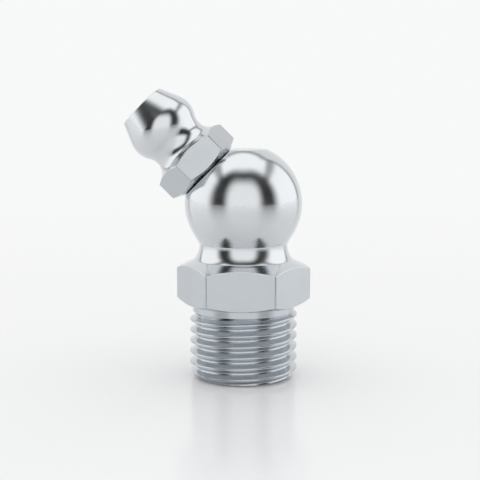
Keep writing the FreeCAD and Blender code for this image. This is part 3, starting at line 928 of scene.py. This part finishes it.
def satin_steel(name, base, roughness):
    """Milled and plated flats: a fine grain and cloudy tone."""
    material = bpy.data.materials.new(name)
    material.use_nodes = True
    nodes = Nodes(material.node_tree)
    place = nodes.add("ShaderNodeTexCoord").outputs["Object"]
    grain = nodes.noise(place, GRAIN_SCALE, detail=2.0)
    cloud = nodes.noise(place, CLOUD_SCALE, detail=3.0)
    relief = {"Height": grain, "Strength": GRAIN_STRENGTH, "Distance": GRAIN_DEPTH}
    bump = nodes.add("ShaderNodeBump", relief)
    tone = nodes.mix_colour(nodes.ramp(cloud, *CLOUD_TONE), rgba(base), rgba(base, CLOUDED))
    polish = nodes.math("ADD", roughness, nodes.ramp(cloud, *CLOUD_POLISH))
    nodes.metal(tone, polish, bump)
    return material


def settings():
    return bpy.context.scene.grease_nipple


class GREASE_OT_body(Operator):
    """Build the threaded body with its hexagon, neck and ball"""

    bl_idname = "grease_nipple.body"
    bl_label = "Body"

    def execute(self, context):
        all_sizes = settings()
        shank, hexagon, ball, head, finish = (
            all_sizes.shank, all_sizes.hexagon, all_sizes.ball, all_sizes.head, all_sizes.finish)
        body = turned_body(shank, hexagon, ball, head)
        spot_face(body, ball, head)
        drill_socket(body, shank, ball, head)
        mill_body(body, hexagon, ball)
        break_rim(body, ball, head)
        wear(body, [
            steel("turned_steel", finish.turned_colour, finish.turned_roughness, finish.lathe_feed,
                  finish.turned_relief),
            satin_steel("milled_steel", finish.milled_colour, finish.milled_roughness),
            steel("thread_steel", finish.thread_colour, finish.thread_roughness, finish.lathe_feed / 2,
                  finish.thread_relief),
            # the dark line beside the corners, a painted reflection
            satin_steel("painted_dark_line", finish.painted_dark_line_colour, finish.milled_roughness)])
        paint(body, MILLED_SLOT, lambda face: is_flat_of_hexagon(face, hexagon.across_flats))
        # painted reflection: a dark line on the corner strips next to the flats
        paint(body, PAINTED_DARK_LINE_SLOT, lambda face: beside_flat_of_hexagon(face, hexagon.across_flats))
        bpy.ops.object.mode_set(mode="OBJECT")
        thread = threaded_shank(shank, hexagon)
        wear(thread, [body.data.materials[THREAD_SLOT]])
        join(body, thread)
        finish_shading(body)
        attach(body, "fitting")
        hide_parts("body")
        return {"FINISHED"}


class GREASE_OT_nipple(Operator):
    """Build the leaning nipple with its small hexagon, coupler head and valve bore"""

    bl_idname = "grease_nipple.nipple"
    bl_label = "Nipple"

    def execute(self, context):
        all_sizes = settings()
        head, ball, finish = all_sizes.head, all_sizes.ball, all_sizes.finish
        nipple = turned_nipple(head)
        seat, _ = head_frame(head, ball)
        wear(nipple, [
            steel("nipple_turned_steel", finish.turned_colour, finish.turned_roughness, finish.lathe_feed,
                  finish.nipple_relief, head.lean, seat),
            satin_steel("nipple_milled_steel", finish.milled_colour, finish.milled_roughness),
            # the undercut, painted near black as painted shade
            satin_steel("undercut_painted_shade", finish.undercut_painted_shade_colour, finish.crevice_roughness),
            # the dark line beside the small hexagon's corners, a painted reflection
            satin_steel("nipple_painted_dark_line", finish.painted_dark_line_colour, finish.milled_roughness)])
        undercut_top = head.undercut_height + WELD
        paint(nipple, MILLED_SLOT, lambda face: is_flat_of_hexagon(face, head.across_flats))
        # painted reflection: a dark line on the corner strips next to the flats
        paint(nipple, PAINTED_DARK_LINE_SLOT, lambda face: beside_flat_of_hexagon(face, head.across_flats))
        # painted shade: the undercut over the seat is painted near black
        paint(nipple, UNDERCUT_SHADE_SLOT, lambda face: 0 < face.calc_center_median().z < undercut_top)
        bpy.ops.object.mode_set(mode="OBJECT")
        nipple.rotation_euler = (0, 0, head.hexagon_turn)
        bpy.ops.object.transform_apply(location=False, rotation=True, scale=False)
        lean_over(nipple, head, ball)
        finish_shading(nipple)
        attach(nipple, "fitting")
        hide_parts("nipple")
        return {"FINISHED"}


class GREASE_OT_check_ball(Operator):
    """Build the check ball from a subdivided cube drawn out to a sphere"""

    bl_idname = "grease_nipple.check_ball"
    bl_label = "Check Ball"

    def execute(self, context):
        head, finish = settings().head, settings().finish
        low, high = (Vector(corner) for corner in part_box("check_ball"))
        centre = (low + high) / 2
        bpy.ops.object.select_all(action="DESELECT")
        bpy.ops.mesh.primitive_cube_add(size=head.ball_diameter, location=(0, 0, 0))
        check_ball = context.object
        check_ball.name = check_ball.data.name = "closing_ball"
        bpy.ops.object.mode_set(mode="EDIT")
        bpy.ops.mesh.select_all(action="SELECT")
        bpy.ops.mesh.subdivide(number_cuts=SPHERE_CUTS)
        bpy.ops.transform.tosphere(value=1.0, center_override=(0, 0, 0))
        mesh = bmesh.from_edit_mesh(check_ball.data)
        for vertex in mesh.verts:
            vertex.co = centre + vertex.co.normalized() * (head.ball_diameter / 2)
        bmesh.update_edit_mesh(check_ball.data)
        bpy.ops.object.mode_set(mode="OBJECT")
        wear(check_ball, [satin_steel("ball_steel", finish.ball_colour, finish.turned_roughness)])
        finish_shading(check_ball)
        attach(check_ball, "valve_ball")
        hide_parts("check_ball")
        return {"FINISHED"}


class GREASE_OT_check_spring(Operator):
    """Wind the check spring at one length; the real spring shortens as the check ball is pushed in"""

    bl_idname = "grease_nipple.check_spring"
    bl_label = "Check Spring"

    def execute(self, context):
        all_sizes = settings()
        head, ball, finish = all_sizes.head, all_sizes.ball, all_sizes.finish
        spring = wound_spring(head)
        wear(spring, [satin_steel("spring_steel", finish.spring_colour, finish.spring_roughness)])
        lean_over(spring, head, ball)
        finish_shading(spring)
        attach(spring, "fitting")
        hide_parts("check_spring")
        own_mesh(spring)
        return {"FINISHED"}


def light_tent(stage):
    """A world of soft panels that reflections see, with a plain backdrop for the camera."""
    world = bpy.data.worlds.new("light_tent")
    bpy.context.scene.world = world
    world.use_nodes = True
    nodes = Nodes(world.node_tree)
    way = nodes.add("ShaderNodeTexCoord").outputs["Generated"]
    turned = nodes.add("ShaderNodeVectorRotate", {"Vector": way, "Angle": -stage.camera_azimuth},
                       rotation_type="Z_AXIS").outputs[0]
    across, away, up = nodes.add("ShaderNodeSeparateXYZ", {0: turned}).outputs
    front = nodes.math("MULTIPLY", away, -1.0)
    side = nodes.math("ABSOLUTE", nodes.math("ARCTAN2", across, front))
    above = nodes.math("MAXIMUM", nodes.math("ARCSINE", up), 0.0)

    # side panels, and a softbox overhead that tapers towards the back, with a dim seam at its edges
    panels = nodes.blend(nodes.ramp(across, *SIDES_EDGE), stage.left_light, stage.right_light)
    reach = nodes.math("MULTIPLY_ADD", front, -SOFTBOX_TAPER, nodes.math("ABSOLUTE", across))
    edge = nodes.math("DIVIDE", reach, nodes.math("MAXIMUM", up, LEAST_RISE))
    lit = nodes.blend(nodes.fade(edge, SOFTBOX_EDGE), panels, stage.top_light)
    seam = nodes.math("MULTIPLY", nodes.ramp(edge, *SEAM_INSIDE), nodes.fade(edge, SEAM_OUTSIDE))
    lit = nodes.blend(nodes.math("MULTIPLY", seam, stage.seam_strength), lit, stage.seam_light)

    # the backdrop behind the object, with a narrow dark gap round it
    behind = nodes.math("SUBTRACT", math.pi, side)
    outwards = nodes.math("MAXIMUM", nodes.math("DIVIDE", behind, stage.backdrop_half_width),
                          nodes.math("DIVIDE", above, stage.backdrop_height))
    lit = nodes.blend(nodes.fade(outwards, BACKDROP_EDGE), lit, stage.back_light)
    gap = nodes.math("MULTIPLY", nodes.ramp(outwards, *GAP_INSIDE), nodes.fade(outwards, GAP_OUTSIDE))
    lit = nodes.blend(nodes.math("MULTIPLY", gap, stage.gap_strength), lit, stage.gap_light)

    def rounded(half_width, height):
        """Distance from the middle of a rounded panel in front, one at its edge."""
        parts = [nodes.math("POWER", nodes.math("DIVIDE", angle_seen, size), CORNER_POWER)
                 for angle_seen, size in ((side, half_width), (above, height))]
        return nodes.math("POWER", nodes.math("ADD", *parts), 1 / CORNER_POWER)

    # a dark board with a pale window in it, in front
    board = nodes.fade(rounded(stage.board_half_width, stage.board_height), BOARD_EDGE)
    window = nodes.fade(rounded(stage.window_half_width, stage.window_height), WINDOW_EDGE)
    lit = nodes.blend(board, lit, nodes.blend(window, stage.frame_light, stage.window_light))

    rays = nodes.add("ShaderNodeLightPath").outputs
    seen = nodes.blend(rays["Is Glossy Ray"], 1.0, lit)
    tent = nodes.add("ShaderNodeBackground", {"Color": (1, 1, 1, 1), "Strength": seen}).outputs[0]
    plain = {"Color": rgba(stage.backdrop), "Strength": 1.0}
    backdrop = nodes.add("ShaderNodeBackground", plain).outputs[0]
    straight = nodes.math("MAXIMUM", rays["Is Camera Ray"], rays["Is Transmission Ray"])
    shown = nodes.add("ShaderNodeMixShader", {0: straight, 1: tent, 2: backdrop}).outputs[0]
    nodes.add("ShaderNodeOutputWorld", {"Surface": shown})


def pale_floor(stage):
    """A glossy white board under the object."""
    bpy.ops.object.select_all(action="DESELECT")
    bpy.ops.mesh.primitive_plane_add(size=stage.floor_size, location=(0, 0, -stage.floor_drop))
    board = bpy.context.object
    board.name = "floor_board"
    material = bpy.data.materials.new("floor_board")
    material.use_nodes = True
    nodes = Nodes(material.node_tree)
    place = nodes.add("ShaderNodeTexCoord").outputs["Object"]
    grain = nodes.noise(place, FLOOR_GRAIN_SCALE, detail=2.0)
    shade = nodes.mix_colour(nodes.ramp(grain, *FLOOR_TONE), rgba(stage.floor), rgba(stage.floor, SHADED))
    shader = nodes.add("ShaderNodeBsdfPrincipled", {
        "Base Color": shade, "Roughness": stage.floor_roughness, "IOR": ACRYLIC_IOR}).outputs[0]
    distance = nodes.add("ShaderNodeVectorMath", {0: place}, operation="LENGTH").outputs["Value"]
    seen = nodes.add("ShaderNodeLightPath").outputs["Is Camera Ray"]
    fade = nodes.math("MULTIPLY", seen, nodes.ramp(distance, stage.fade_start, stage.fade_end))
    backdrop = nodes.add("ShaderNodeEmission", {"Color": rgba(stage.backdrop)}).outputs[0]
    mixed = nodes.add("ShaderNodeMixShader", {0: fade, 1: shader, 2: backdrop}).outputs[0]
    nodes.add("ShaderNodeOutputMaterial", {"Surface": mixed})
    board.data.materials.append(material)


class GREASE_OT_stage(Operator):
    """Build the floor, the light tent and the camera at the photograph's viewing angle"""

    bl_idname = "grease_nipple.stage"
    bl_label = "Stage"

    def execute(self, context):
        stage = settings().stage
        pale_floor(stage)
        light_tent(stage)
        turn = stage.camera_azimuth
        back = Vector((math.sin(turn), -math.cos(turn), 0))
        right = Vector((math.cos(turn), math.sin(turn), 0))
        place = back * stage.camera_distance - right * stage.camera_offset
        place.z = stage.camera_height
        bpy.ops.object.camera_add(location=place, rotation=(math.pi / 2 - stage.camera_pitch, 0, turn))
        camera = context.object
        camera.data.lens = stage.lens
        camera.data.sensor_width = SENSOR_WIDTH
        camera.data.clip_start = CLIP_START
        camera.data.clip_end = CLIP_END
        context.scene.camera = camera
        context.scene.view_settings.view_transform = "Standard"
        return {"FINISHED"}


class GreaseNippleSettings(PropertyGroup):
    """All sizes, finishes and stage settings of the grease nipple"""

    shank: PointerProperty(type=ShankSizes, name="Shank", description="Sizes of the threaded shank")
    hexagon: PointerProperty(type=HexagonSizes, name="Hexagon", description="Sizes of the wrench hexagon")
    ball: PointerProperty(type=BallSizes, name="Ball", description="Sizes of the ball and neck")
    head: PointerProperty(type=HeadSizes, name="Head", description="Sizes of the leaning nipple")
    finish: PointerProperty(type=Finishes, name="Finish", description="Colours and roughness")
    stage: PointerProperty(type=StageSettings, name="Stage", description="Camera, floor and light")


PIECES = (
    GREASE_OT_body, GREASE_OT_nipple, GREASE_OT_check_ball, GREASE_OT_check_spring, GREASE_OT_stage)


class GREASE_PT_panel(Panel):
    """Lists the pieces and their settings"""

    bl_idname = "GREASE_PT_panel"
    bl_label = "Grease Nipple"
    bl_space_type = "VIEW_3D"
    bl_region_type = "UI"
    bl_category = "Grease Nipple"

    def draw(self, context):
        for piece in PIECES:
            self.layout.operator(piece.bl_idname)
        everything = settings()
        for group in ("shank", "hexagon", "ball", "head", "finish", "stage"):
            box = self.layout.box()
            box.label(text=group.title())
            sizes = getattr(everything, group)
            for name in sizes.__annotations__:
                box.prop(sizes, name)


CLASSES = (ShankSizes, HexagonSizes, BallSizes, HeadSizes, Finishes, StageSettings, GreaseNippleSettings,
           *PIECES, GREASE_PT_panel)


def register():
    for item in CLASSES:
        bpy.utils.register_class(item)
    bpy.types.Scene.grease_nipple = PointerProperty(type=GreaseNippleSettings)


def unregister():
    del bpy.types.Scene.grease_nipple
    for item in reversed(CLASSES):
        bpy.utils.unregister_class(item)


def main():
    register()
    bpy.ops.grease_nipple.body()
    bpy.ops.grease_nipple.nipple()
    bpy.ops.grease_nipple.check_ball()
    bpy.ops.grease_nipple.check_spring()
    bpy.ops.grease_nipple.stage()


if __name__ == "__main__":
    main()
